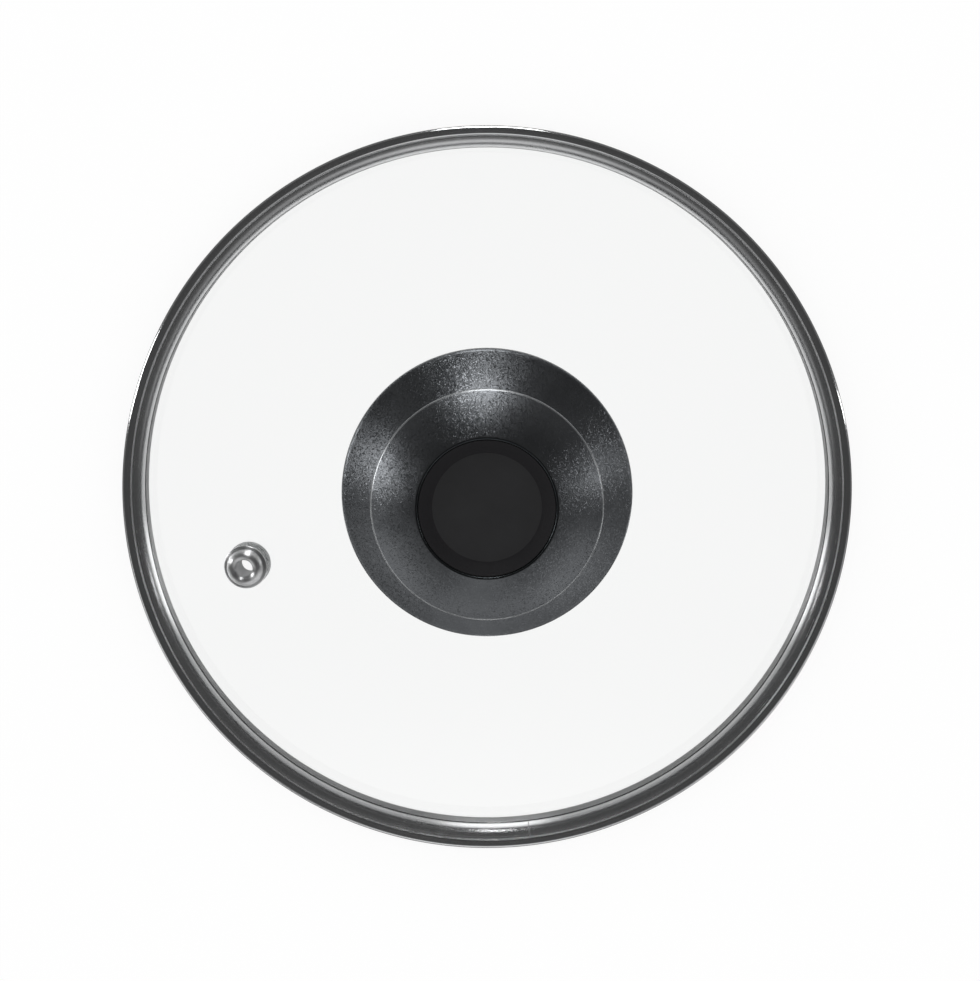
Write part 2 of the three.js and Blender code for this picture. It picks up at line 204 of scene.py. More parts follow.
def placed_faces(mesh: Mesh) -> Iterator[tuple[bmesh.types.BMFace, float, float]]:
    """Give each face of a mesh with its distance from the axis and its height."""
    middles = ((face, face.calc_center_median()) for face in mesh.faces)
    return ((face, math.hypot(middle.x, middle.y), middle.z) for face, middle in middles)


def smooth(data: bpy.types.Mesh) -> None:
    """Shade a mesh smooth, but for its sharp edges."""
    data.shade_smooth()
    data.set_sharp_from_angle(angle=SHARP_ANGLE)


def as_object(mesh: Mesh, name: str, place: Matrix | None = None) -> Piece:
    """Bring a mesh to metres and make an object of it.

    Args:
        mesh: The mesh, in millimetres.
        name: Name of the piece.
        place: Frame that the mesh was drawn in, also in millimetres.

    Returns:
        The object, at the origin, with its place in its mesh.
    """
    to_metres = Matrix.Scale(MILLIMETRE, 4) @ (place or Matrix.Identity(4))
    bmesh.ops.transform(mesh, matrix=to_metres, verts=mesh.verts)
    data = bpy.data.meshes.new(name)
    mesh.to_mesh(data)
    mesh.free()
    smooth(data)
    piece = bpy.data.objects.new(name, data)
    bpy.context.scene.collection.objects.link(piece)
    return piece


def cut(piece: Piece, *cutters: Piece) -> None:
    """Cut a piece with others, which are used up.

    Args:
        piece: The piece that is cut.
        cutters: Closed solids that are taken out of it.
    """
    for cutter in cutters:
        boolean = piece.modifiers.new("cut", "BOOLEAN")
        boolean.operation, boolean.solver, boolean.object = "DIFFERENCE", "EXACT", cutter
    bpy.context.view_layer.update()
    plain = piece.data
    result = bpy.data.meshes.new_from_object(piece.evaluated_get(bpy.context.evaluated_depsgraph_get()))
    piece.modifiers.clear()
    piece.data = result
    result.name = piece.name
    for used in (plain, *(cutter.data for cutter in cutters)):
        bpy.data.meshes.remove(used)
    smooth(result)


def dress(piece: Piece, slot: Slot, finishes: list[Material], *stands_for: str) -> None:
    """Give a piece its finish and set it on the lid's body.

    Args:
        piece: The finished piece.
        slot: The record's slot that its finish comes from; here it is only named in the log.
        finishes: Its materials, in the order of its faces' numbers.
        stands_for: Names of the solids that it stands for.
    """
    for finish in finishes:
        piece.data.materials.append(finish)
    flat = piece.modifiers.new("flat faces stay flat", "WEIGHTED_NORMAL")
    flat.mode, flat.weight, flat.keep_sharp = "FACE_AREA", 60, True
    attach(piece, "root")
    if stands_for:
        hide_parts(*stands_for)
    log.info("%s: %d faces, %s", piece.name, len(piece.data.polygons), slot.value)


# ---- Finishes ----


class Recipe:
    """A material's nodes, added one after another."""

    def __init__(self, name: str) -> None:
        """Start a material with an empty Principled shader.

        Args:
            name: Name of the material.
        """
        self.material = bpy.data.materials.new(name)
        self.material.use_nodes = True
        self.tree = self.material.node_tree
        self.shader = self.tree.nodes["Principled BSDF"]

    def add(self, kind: str, feeds: dict[int | str, Any] | None = None, **settings: Any) -> bpy.types.Node:
        """Add a node.

        Args:
            kind: Blender's name for the node type, without the ShaderNode in front.
            feeds: Its inputs, as values or as the sockets that feed them.
            settings: Its own properties.

        Returns:
            The node.
        """
        node = self.tree.nodes.new("ShaderNode" + kind)
        for name, value in settings.items():
            setattr(node, name, value)
        for name, value in (feeds or {}).items():
            self.feed(node, name, value)
        return node

    def feed(self, node: bpy.types.Node, name: int | str, value: Any) -> None:
        """Set an input, or link it.

        Args:
            node: The node.
            name: The input's name or number.
            value: Its value, or the socket that feeds it.
        """
        if isinstance(value, Socket):
            self.tree.links.new(value, node.inputs[name])
        else:
            node.inputs[name].default_value = value

    def finish(self, **sockets: Any) -> Material:
        """Set the Principled shader's sockets and hand the material over.

        Args:
            sockets: Values or sockets by name, with underscores for the spaces.

        Returns:
            The material.
        """
        for name, value in sockets.items():
            self.feed(self.shader, name.replace("_", " "), value)
        return self.material

    def math(self, operation: str, *values: Any) -> Socket:
        """Add a Math node and return its result."""
        return self.add("Math", dict(enumerate(values)), operation=operation).outputs[0]

    def vector(self, operation: str, *values: Any) -> Socket:
        """Add a Vector Math node and return its vector."""
        return self.add("VectorMath", dict(enumerate(values)), operation=operation).outputs[0]

    def round_axis(self, axis: Matrix) -> Socket:
        """Give the direction round the axis of a frame, along which a piece is polished."""
        off_axis = self.vector("SUBTRACT", self.place(), tuple(axis.to_translation() * MILLIMETRE))
        return self.vector("NORMALIZE", self.vector("CROSS_PRODUCT", tuple(axis.to_3x3().col[2]), off_axis))

    def place(self, axis: Matrix | None = None) -> Socket:
        """Give the piece's coordinates in metres.

        Args:
            axis: Frame that they are seen from, where that isn't the lid's.

        Returns:
            The coordinates.
        """
        plain = self.add("TexCoord").outputs["Object"]
        if axis is None:
            return plain
        feeds = {"Vector": plain, "Location": axis.to_translation() * MILLIMETRE, "Rotation": axis.to_euler()}
        return self.add("Mapping", feeds, vector_type="TEXTURE").outputs[0]

    def grain(self, vector: Socket, size: float, detail: float, roughness: float) -> Socket:
        """Add a noise from 0 to 1, with features of a size in millimetres."""
        feeds = {"Vector": vector, "Scale": 1.0 / (size * MILLIMETRE), "Detail": detail, "Roughness": roughness}
        return self.add("TexNoise", feeds).outputs[0]

    def lathe_lines(self, vector: Socket, pitch: float) -> Socket:
        """Add fine lines that run round the axis, as polishing leaves them.

        Args:
            vector: The piece's coordinates.
            pitch: Mean width of a line, in millimetres.

        Returns:
            The lines' height, from 0 to 1.
        """
        parts = self.add("SeparateXYZ", {0: vector}).outputs
        squares = [self.math("MULTIPLY", part, part) for part in parts[:2]]
        distance = self.math("SQRT", self.math("ADD", *squares))
        return self.grain(self.add("CombineXYZ", {0: distance, 1: parts[2]}).outputs[0], pitch, 3.0, 0.65)

    def ramp(self, value: Socket, start: float, end: float) -> Socket:
        """Rise smoothly from 0 to 1 between two values."""
        feeds = {"Value": value, "From Min": start, "From Max": end}
        return self.add("MapRange", feeds, interpolation_type="SMOOTHSTEP").outputs[0]

    def fade(self, bearing: Socket, middle: float, inside: float, outside: float) -> Socket:
        """Fade from 1 to 0 on both sides of a bearing, between two angles in degrees."""
        off = self.math("ABSOLUTE", self.math("SUBTRACT", bearing, math.radians(middle)))
        return self.ramp(off, math.radians(outside), math.radians(inside))

    def blend(self, factor: Socket, low: Any, high: Any) -> Socket:
        """Blend two numbers."""
        return self.add("Mix", {"Factor": factor, "A": low, "B": high}, data_type="FLOAT").outputs[0]

    def weigh(self, first: Socket, share: float, second: Socket) -> Socket:
        """Add up two patterns, the first by its share and the second by the rest."""
        return self.math("ADD", self.math("MULTIPLY", first, share), self.math("MULTIPLY", second, 1.0 - share))

    def between(self, factor: Socket, low: float, high: float) -> Socket:
        """Stretch a noise, which stays mostly between 0.3 and 0.7, to a range of values."""
        feeds = {"Value": factor, "From Min": 0.3, "From Max": 0.7, "To Min": low, "To Max": high}
        return self.add("MapRange", feeds).outputs[0]

    def shades(self, factor: Socket, dark: Colour, light: Colour) -> Socket:
        """Blend two colours by a noise, which stays mostly between 0.3 and 0.7.

        Args:
            factor: The noise.
            dark: The colour where it is low.
            light: The colour where it is high.

        Returns:
            The colour.
        """
        ramp = self.add("ValToRGB", {0: factor})
        low, high = ramp.color_ramp.elements
        low.position, low.color = 0.3, (*dark, 1.0)
        high.position, high.color = 0.7, (*light, 1.0)
        return ramp.outputs[0]

    def bump(self, height: Socket, depth: float) -> Socket:
        """Add relief of a depth in millimetres, and return the normal."""
        return self.add("Bump", {"Height": height, "Distance": depth * MILLIMETRE, "Strength": 1.0}).outputs[0]


@dataclass(frozen=True)
class Steel:
    """Stainless steel, from mirror polish to a satin face."""

    name: str
    dark: Colour = (0.66, 0.665, 0.675)
    light: Colour = (0.74, 0.745, 0.75)
    smoothest: float = 0.17
    roughest: float = 0.24
    line_pitch: float = 0.22
    line_depth: float = 0.0006
    handling_size: float = 9.0
    spread: float = 0.85

    def material(self, axis: Matrix | None = None) -> Material:
        """Mix the finish.

        Args:
            axis: Frame of the piece's own axis, where that isn't the lid's.

        Returns:
            The material.
        """
        recipe = Recipe(self.name)
        place = recipe.place(axis)
        lines = recipe.lathe_lines(place, self.line_pitch)
        wear = recipe.weigh(lines, 0.55, recipe.grain(place, self.handling_size, 3.0, 0.6))
        return recipe.finish(
            Metallic=1.0,
            Base_Color=recipe.shades(wear, self.dark, self.light),
            Roughness=recipe.between(wear, self.smoothest, self.roughest),
            Anisotropic=self.spread,
            Anisotropic_Rotation=0.25,
            Tangent=recipe.round_axis(axis or Matrix.Identity(4)),
            Normal=recipe.bump(lines, self.line_depth),
        )


@dataclass(frozen=True)
class TemperedGlass:
    """Clear tempered glass, polished, with the faint waviness that tempering leaves."""

    name: str = "clear tempered glass"
    tint: Colour = (0.995, 1.0, 0.997)
    index: float = 1.5
    haze_size: float = 1000 / 60
    roughest: float = 0.012
    wave_size: float = 24.0
    wave_depth: float = 0.004

    def material(self) -> Material:
        """Mix the finish.

        Returns:
            The material.
        """
        recipe = Recipe(self.name)
        place = recipe.place()
        return recipe.finish(
            Base_Color=(*self.tint, 1.0),
            Roughness=recipe.between(recipe.grain(place, self.haze_size, 4.0, 0.7), 0.0, self.roughest),
            IOR=self.index,
            Transmission_Weight=1.0,
            Normal=recipe.bump(recipe.grain(place, self.wave_size, 1.0, 0.4), self.wave_depth),
        )


@dataclass(frozen=True)
class FleckedPaint:
    """Dark grey metallic paint on the moulding: a satin ground, with fine flakes that lie a little askew and glint."""

    name: str = "dark flecked knob paint"
    dark: Colour = (0.11, 0.115, 0.122)
    light: Colour = (0.131, 0.137, 0.144)
    flake_size: float = 0.21
    flake_tilt: float = 0.29
    flake_share: float = 0.5
    flake_roughness: float = 0.29
    smoothest: float = 0.32
    roughest: float = 0.37
    cloud_size: float = 7.0

    def material(self) -> Material:
        """Mix the finish.

        Returns:
            The material.
        """
        recipe = Recipe(self.name)
        place = recipe.place()
        cells = recipe.add("TexVoronoi", {"Vector": place, "Scale": 1.0 / (self.flake_size * MILLIMETRE)}).outputs
        chance = recipe.add("SeparateXYZ", {0: cells["Color"]}).outputs[0]
        flakes = recipe.ramp(chance, 1.0 - 1.4 * self.flake_share, 1.0 - 0.6 * self.flake_share)
        askew = recipe.vector("SCALE", recipe.vector("SUBTRACT", cells["Color"], (0.5, 0.5, 0.5)))
        recipe.feed(askew.node, "Scale", recipe.math("MULTIPLY", flakes, self.flake_tilt))
        cloud = recipe.grain(place, self.cloud_size, 3.0, 0.55)
        satin = recipe.between(cloud, self.smoothest, self.roughest)
        return recipe.finish(
            Base_Color=recipe.shades(cloud, self.dark, self.light),
            Metallic=1.0,
            Roughness=recipe.blend(flakes, satin, self.flake_roughness),
            Normal=recipe.vector("NORMALIZE", recipe.vector("ADD", recipe.add("NewGeometry").outputs["Normal"], askew)),
        )


@dataclass(frozen=True)
class MattPlastic:
    """Matt moulded plastic with a faint mottle."""

    name: str
    dark: Colour
    light: Colour
    smoothest: float = 0.62
    roughest: float = 0.78
    grain_size: float = 0.5
    grain_depth: float = 0.01
    shine: float = 0.35

    def material(self) -> Material:
        """Mix the finish.

        Returns:
            The material.
        """
        recipe = Recipe(self.name)
        place = recipe.place()
        grain = recipe.grain(place, self.grain_size, 2.0, 0.6)
        tone = recipe.weigh(grain, 0.4, recipe.grain(place, 10 * self.grain_size, 3.0, 0.55))
        return recipe.finish(
            Base_Color=recipe.shades(tone, self.dark, self.light),
            Roughness=recipe.between(tone, self.smoothest, self.roughest),
            Specular_IOR_Level=self.shine,
            Normal=recipe.bump(grain, self.grain_depth),
        )


@dataclass(frozen=True)
class SoftSilicone:
    """Translucent grey silicone with a dusty surface."""

    name: str
    dark: Colour = (0.43, 0.44, 0.435)
    light: Colour = (0.56, 0.57, 0.56)
    dust_size: float = 1000 / 900

    def material(self) -> Material:
        """Mix the finish.

        Returns:
            The material.
        """
        recipe = Recipe(self.name)
        dust = recipe.grain(recipe.place(), self.dust_size, 5.0, 0.65)
        return recipe.finish(
            Base_Color=recipe.shades(dust, self.dark, self.light),
            Roughness=recipe.between(dust, 0.48, 0.66),
            Subsurface_Weight=0.25,
            Subsurface_Radius=(1.0, 1.0, 1.0),
            Subsurface_Scale=0.0008,
            Normal=recipe.bump(dust, 0.01),
        )


@dataclass(frozen=True)
class TurnedBrass:
    """Brass as the lathe leaves it."""

    name: str = "turned brass"
    dark: Colour = (0.6, 0.43, 0.19)
    light: Colour = (0.78, 0.6, 0.3)

    def material(self) -> Material:
        """Mix the finish.

        Returns:
            The material.
        """
        recipe = Recipe(self.name)
        lines = recipe.lathe_lines(recipe.place(), 0.15)
        return recipe.finish(
            Metallic=1.0,
            Base_Color=recipe.shades(lines, self.dark, self.light),
            Roughness=recipe.between(lines, 0.24, 0.4),
            Normal=recipe.bump(lines, 0.003),
        )


# ---- Glass dome ----


@dataclass
class GlassDome:
    """The tempered dome: two spheres about one centre, a screw hole and a vent hole."""

    radius: float = 78.9
    upper_sphere: float = 370.0
    thickness: float = 4.0
    edge_round: float = 0.6
    foot_height: float = 0.8
    screw_hole: float = 3.6
    screw_hole_round: float = 0.3
    vent_hole: float = 3.4
    vent_distance: float = 57.6
    vent_bearing: float = 197.8
    facets_round: int = 256
    facets_across: int = 44
    finish: TemperedGlass = TemperedGlass()

    @property
    def lower_sphere(self) -> float:
        """Radius of the inner face."""
        return self.upper_sphere - self.thickness

    @property
    def centre(self) -> float:
        """Height of both spheres' centre: the lower corner hangs over the rim's foot."""
        return self.foot_height - math.sqrt(self.lower_sphere**2 - self.radius**2)

    def height(self, sphere: float, distance: float) -> float:
        """Height of a sphere at a distance from the axis."""
        return self.centre + math.sqrt(sphere**2 - distance**2)

    def vent_frame(self) -> Matrix:
        """Give the frame on the upper face, square to the dome, where the steam vent stands."""
        lean = math.asin(self.vent_distance / self.upper_sphere)
        return (
            Matrix.Translation((0.0, 0.0, self.centre))
            @ Matrix.Rotation(math.radians(self.vent_bearing), 4, "Z")
            @ Matrix.Rotation(lean, 4, "Y")
            @ Matrix.Translation((0.0, 0.0, self.upper_sphere))
        )

    def build(self) -> None:
        """Build and dress the dome."""
        start = self.height(self.lower_sphere, self.screw_hole)
        outline = Outline((self.screw_hole, start, self.screw_hole_round))
        outline.arc(self.centre, self.radius, self.facets_across)
        outline.bend(self.edge_round, 5)
        outline.lines((self.radius, self.height(self.upper_sphere, self.radius), self.edge_round, 5))
        outline.arc(self.centre, self.screw_hole, self.facets_across)
        outline.bend(self.screw_hole_round)
        dome = as_object(outline.close().turned(self.facets_round), "glass_dome_clear")
        drill = bmesh.new()
        bmesh.ops.create_cone(
            drill, cap_ends=True, segments=72, radius1=self.vent_hole, radius2=self.vent_hole,
            depth=4 * self.thickness,
        )
        cut(dome, as_object(drill, "vent_drill", self.vent_frame()))
        dress(dome, Slot.GLASS, [self.finish.material()], "glass_dome")


# ---- Steel rim ----


@dataclass
class SteelRim:
    """One strip of steel, rolled to a channel round the glass, a shoulder, a flange and a hem, and butt welded."""

    sheet: float = 0.5
    foot_radius: float = 77.1
    foot_bend: float = 0.6
    wall_radius: float = 79.45
    pinch_height: float = 5.5
    pinch_radius: float = 78.25
    pinch_bend: float = 0.44
    crown_height: float = 9.546
    shoulder_bend: float = 2.15
    step_radius: float = 81.05
    step_rise: float = 0.4
    step_run: float = 0.29
    step_foot_bend: float = 0.27
    step_edge_bend: float = 0.5
    hem_radius: float = 82.735
    hem_bend: float = 0.42
    hem_foot: float = 8.65
    deburring: float = 0.09
    bead_width: float = 0.22
    bead_height: float = 0.28
    bead_drop: float = 0.04
    bead_round: float = 0.19
    weld_bearing: float = -83.0
    weld_width: float = 0.22
    weld_thickness: float = 0.07
    facets_round: int = 288
    brushed: Steel = Steel(
        "brushed shoulder steel", smoothest=0.22, roughest=0.29, line_pitch=0.34, line_depth=0.0035,
    )
    # Lighter, rougher steel on the small step: a rough face of wear, and a lighter colour that is a painted highlight
    # along the crease line.
    step_wear_and_highlight: Steel = Steel(
        "step steel with wear and painted highlight", (0.74, 0.745, 0.755), (0.82, 0.825, 0.83), 0.32, 0.4, 0.2, 0.002, spread=0.3,
    )
    polished: Steel = Steel("polished rim steel", smoothest=0.13, roughest=0.18)
    satin: Steel = Steel(
        "satin steel inside the channel", (0.5, 0.5, 0.505), (0.6, 0.6, 0.605), 0.26, 0.38, 0.16, 0.002,
    )
    weld_steel: Steel = Steel("ground weld", (0.3, 0.3, 0.31), (0.46, 0.46, 0.465), 0.3, 0.45, 0.12, 0.003, 2.0)

    def build_band(self) -> None:
        """Build and dress the rolled strip, drawn along its middle from its foot under the glass to its hem."""
        flange = self.crown_height + self.step_rise
        mesh = Outline(
            (self.foot_radius, self.sheet / 2),
            (self.wall_radius, self.sheet / 2, self.foot_bend, 5),
            (self.wall_radius, self.pinch_height, self.pinch_bend, 5),
            (self.pinch_radius, self.pinch_height, self.pinch_bend, 5),
            (self.pinch_radius, self.crown_height, self.shoulder_bend, 12),
            (self.step_radius - self.step_run / 2, self.crown_height, self.step_foot_bend),
            (self.step_radius + self.step_run / 2, flange, self.step_edge_bend, 6),
            (self.hem_radius, flange, self.hem_bend, 9),
            (self.hem_radius, self.hem_foot),
        ).turned(self.facets_round)
        crown = max(mesh.faces, key=lambda face: face.calc_center_median().z)
        if crown.normal.z < 0:
            bmesh.ops.reverse_faces(mesh, faces=mesh.faces)
        for face, distance, height in placed_faces(mesh):
            if height < self.pinch_height:
                face.material_index = 3
            # Faces on the step take the lighter steel: a painted highlight along the crease, on a worn face.
            elif abs(distance - self.step_radius) < self.step_run / 2:
                face.material_index = 1
            elif distance > self.step_radius:
                face.material_index = 2
        band = as_object(mesh, "rim_band_rolled")
        wall = band.modifiers.new("sheet", "SOLIDIFY")
        wall.thickness, wall.offset, wall.use_even_offset = self.sheet * MILLIMETRE, 0.0, True
        wall.material_offset = 4
        edge = band.modifiers.new("deburred edges", "BEVEL")
        edge.width, edge.segments, edge.limit_method = self.deburring * MILLIMETRE, 2, "ANGLE"
        edge.angle_limit, edge.harden_normals = math.radians(60), False
        polished = self.polished.material()
        face_side = [self.brushed.material(), self.step_wear_and_highlight.material(), polished, self.satin.material()]
        dress(band, Slot.RIM_STEEL, face_side + [polished] * 4, "rim_band")

    def build_bead(self) -> None:
        """Build and dress the narrow ledge that the pinch leaves on the glass."""
        face = self.sheet / 2
        section = washer(
            self.pinch_radius - face - self.bead_width, self.pinch_radius, self.pinch_height - face - self.bead_drop,
            self.bead_height, self.bead_round,
        )
        bead = as_object(section.turned(self.facets_round), "rim_pinch_bead")
        dress(bead, Slot.RIM_STEEL, [self.polished.material()])

    def build_weld(self) -> None:
        """Build and dress the seam where the strip's ends meet: a low ground bead on the visible face."""
        face = self.sheet / 2
        crown = self.crown_height + face
        share = math.degrees(self.weld_width / self.step_radius)
        mesh = Outline(
            (self.pinch_radius - face, self.pinch_height + self.pinch_bend),
            (self.pinch_radius - face, crown, self.shoulder_bend + face, 12),
            (self.step_radius - self.step_rise, crown),
        ).turned(3, share, self.weld_bearing - share / 2, closed=False)
        weld = as_object(mesh, "rim_weld")
        bead = weld.modifiers.new("bead", "SOLIDIFY")
        bead.thickness, bead.offset, bead.use_even_offset = self.weld_thickness * MILLIMETRE, 0.0, True
        dress(weld, Slot.RIM_STEEL, [self.weld_steel.material()])

    def build(self) -> None:
        """Build the strip, its bead and its weld."""
        self.build_band()
        self.build_bead()
        self.build_weld()


# ---- Steam vent ----


@dataclass
class SteamVent:
    """A drawn steel eyelet, the soft bush that keeps it off the glass, and the ring that its foot is flared against."""

    frame: Matrix
    bore: float = 1.95
    wall: float = 0.5
    flange_radius: float = 4.95
    seat: float = 1.0
    collar_crest: float = 2.95
    collar_rise: float = 2.3
    collar_foot: float = 4.2
    crimp_top: float = -5.2
    crimp_width: float = 1.4
    bush_bore: float = 2.75
    bush_wall: float = 0.35
    bush_lip: float = 0.4
    washer_thickness: float = 0.6
    washer_round: float = 0.15
    gap: float = 0.3
    facets_round: int = 128
    eyelet_steel: Steel = Steel(
        "drawn eyelet steel", (0.72, 0.725, 0.73), (0.8, 0.805, 0.81), 0.36, 0.43, 0.12, 0.0008, 2.5,
    )
    ring_steel: Steel = Steel(
        "stamped vent ring steel", (0.55, 0.555, 0.56), (0.68, 0.685, 0.69), 0.22, 0.36, 0.1, 0.002, 2.0,
    )
    silicone: SoftSilicone = SoftSilicone("vent bush silicone")

    def eyelet(self) -> Outline:
        """Draw the eyelet: a crimped foot, a tube, a flat flange, a collar and its rolled lip.

        Returns:
            The closed outline.
        """
        tube, foot = self.bore + self.wall, self.crimp_top - self.wall
        edge, edge_round = self.flange_radius, self.wall * 0.49
        flange_top = self.seat + self.wall
        crest, crest_height = self.collar_crest, flange_top + self.collar_rise
        lip = crest - self.bore
        lip_end = crest_height - lip
        outline = Outline(
            (self.bore, foot, 1.1), (tube + self.crimp_width, foot, 0.24),
            (tube + self.crimp_width, self.crimp_top, 0.2), (tube, self.crimp_top, 0.6), (tube, self.seat, 0.25),
            (edge, self.seat, edge_round, 5), (edge, flange_top, edge_round, 5), (self.collar_foot, flange_top),
        )
        outline.curve(
            (self.collar_foot, flange_top + ROUND_PULL * self.collar_rise),
            (crest + ROUND_PULL * (self.collar_foot - crest), crest_height), (crest, crest_height), 12,
        )
        outline.curve(
            (crest - ROUND_PULL * lip, crest_height), (self.bore, lip_end + ROUND_PULL * lip), (self.bore, lip_end), 8,
        )
        return outline.close()

    def bush(self) -> Outline:
        """Draw the soft bush, with its lip on the glass.

        Returns:
            The closed outline.
        """
        outside, lip_radius = self.bush_bore + self.bush_wall, self.flange_radius - self.wall
        lip_top, bottom = self.gap + self.bush_lip, self.crimp_top + self.washer_thickness + self.gap
        return Outline(
            (self.bush_bore, bottom, 0.1), (outside, bottom, 0.1), (outside, self.gap, 0.1),
            (lip_radius, self.gap, 0.15), (lip_radius, lip_top, 0.15), (self.bush_bore, lip_top, 0.1),
        ).close()

    def ring(self) -> Outline:
        """Draw the steel ring under the glass."""
        bottom = self.crimp_top + self.gap / 2
        return washer(self.bush_bore, self.flange_radius, bottom, self.washer_thickness, self.washer_round)

    def build(self) -> None:
        """Build and dress the vent's three pieces."""
        steel, ring_steel = (finish.material(self.frame) for finish in (self.eyelet_steel, self.ring_steel))
        for outline, finish, slot, solid, made in (
            (self.eyelet(), steel, Slot.RIM_STEEL, "vent_eyelet", "drawn"),
            (self.bush(), self.silicone.material(), Slot.SILICONE, "vent_bush", "soft"),
            (self.ring(), ring_steel, Slot.WASHER_STEEL, "vent_washer", "stamped"),
        ):
            piece = as_object(outline.turned(self.facets_round), f"{solid}_{made}", self.frame)
            dress(piece, slot, [finish], solid)


# ---- Knob ----


@dataclass
class Knob:
    """The moulded knob: heat skirt, neck, mushroom head, ribs below, and a matt cap set into the head."""

    skirt_radius: float = 32.98
    skirt_foot: float = 12.488
    skirt_foot_width: float = 2.4
    skirt_foot_round: float = 0.9
    skirt_edge: float = 14.789
    skirt_edge_round: float = 1.1
    flare_start: Point = (32.1, 15.288)
    flare_handles: tuple[Point, Point] = ((25.103, 19.166), (16.5, 25.406))
    neck: Point = (16.5, 29.406)
    neck_fillet: float = 2.646
    head_radius: float = 26.1
    head_underside: float = 32.106
    head_edge: float = 33.41
    head_lower_round: float = 0.95
    head_upper_round: float = 0.55
    head_sphere_centre: float = 2.442
    dish_radius: float = 15.4
    dish_lip: float = 0.04
    dish_round: float = 0.5
    hollow_top: Point = (15.265, 25.367)
    hollow_handles: tuple[Point, Point] = ((18.35, 20.57), (23.3, 17.51))
    hollow_foot: Point = (28.18, 14.555)
    boss_face: float = 14.606
    boss_radius: float = 12.0
    pocket_radius: float = 4.3
    pocket_top: float = 27.306
    rib_count: int = 6
    rib_thickness: float = 1.6
    cap_radius: float = 15.36
    cap_floor_radius: float = 12.6
    cap_floor: float = 37.574
    cap_underside: float = 36.474
    cap_edge: float = 39.48
    spigot_radius: float = 11.8
    spigot_wall: float = 1.2
    spigot_length: float = 1.7
    core_radius: float = 12.1
    core_floor: float = 33.274
    gasket_bore: float = 3.6
    gasket_radius: float = 10.5
    gasket_thickness: float = 1.2
    gasket_round: float = 0.3
    facets_round: int = 224
    plastic: FleckedPaint = FleckedPaint()
    # Lighter paint on the head's rounded edge: a painted highlight, the thin light line that the edge catches.
    edge_sheen_plastic: FleckedPaint = FleckedPaint(
        "painted sheen on knob edge", (0.3, 0.31, 0.32), (0.35, 0.36, 0.37), flake_tilt=0.1,
    )
    # Darker paint round the dish lip and down its inner wall: painted shade in the recess.
    recess_shade_plastic: FleckedPaint = FleckedPaint(
        "painted shade at recess edge", (0.04, 0.045, 0.048), (0.05, 0.055, 0.058), flake_tilt=0.1,
    )
    cap_plastic: MattPlastic = MattPlastic("matt cap plastic", (0.0165, 0.0165, 0.0175), (0.0215, 0.0215, 0.023))
    # Darker plastic on the cap's concave border: painted shade in the recess round the cap's floor.
    border_shade_plastic: MattPlastic = MattPlastic(
        "painted shade on cap border", (0.0105, 0.010, 0.0115), (0.0135, 0.013, 0.0145), shine=0.2,
    )
    silicone: SoftSilicone = SoftSilicone("knob gasket silicone")
    brass: TurnedBrass = TurnedBrass()

    def head_top(self, distance: float) -> float:
        """Height of the head's dome at a distance from the axis."""
        sphere = math.hypot(self.head_radius, self.head_edge - self.head_sphere_centre)
        return self.head_sphere_centre + math.sqrt(sphere**2 - distance**2)

    def build_body(self, finish: Material) -> None:
        """Build and dress the moulded body, from the insert's pocket round the outside to the core under the cap.

        Args:
            finish: Its paint.
        """
        outline = Outline(
            (0.0, self.pocket_top), (self.pocket_radius, self.pocket_top, 0.3),
            (self.pocket_radius, self.boss_face, 0.4), (self.boss_radius, self.boss_face, 0.8, 6),
            (self.boss_radius, self.hollow_top[1], 1.0, 5), self.hollow_top,
        )
        outline.curve(*self.hollow_handles, self.hollow_foot, 14)
        outline.lines(
            (self.skirt_radius - self.skirt_foot_width, self.skirt_foot, 0.5),
            (self.skirt_radius, self.skirt_foot, self.skirt_foot_round, 8),
            (self.skirt_radius, self.skirt_edge, self.skirt_edge_round, 8), self.flare_start,
        )
        outline.curve(*self.flare_handles, self.neck, 36)
        outline.lines(
            (self.neck[0], self.head_underside, self.neck_fillet, 10),
            (self.head_radius, self.head_underside, self.head_lower_round, 8),
            (self.head_radius, self.head_edge, self.head_upper_round, 6),
        )
        outline.arc(self.head_sphere_centre, self.dish_radius + 2 * self.dish_round, 28)
        outline.lines(
            (self.dish_radius, self.head_top(self.dish_radius) + self.dish_lip, self.dish_round, 7),
            (self.dish_radius, self.cap_underside + 0.3, 0.2), (self.core_radius, self.cap_underside - 0.3, 0.2),
            (self.core_radius, self.core_floor, 0.4), (0.0, self.core_floor),
        )
        mesh = outline.turned(self.facets_round)
        for face, distance, height in placed_faces(mesh):
            # Faces of the head's edge rounding take the painted highlight.
            if distance > self.head_radius - 0.35 and abs(height - self.head_edge) < 0.45:
                face.material_index = 1
            # Faces round the dish lip and its wall take the painted shade.
            elif distance < self.dish_radius + 1.2 * self.dish_round and height > self.cap_underside + 1.0:
                face.material_index = 2
        finishes = [finish, self.edge_sheen_plastic.material(), self.recess_shade_plastic.material()]
        dress(as_object(mesh, "knob_body_moulded"), Slot.KNOB_PLASTIC, finishes, "knob_body")

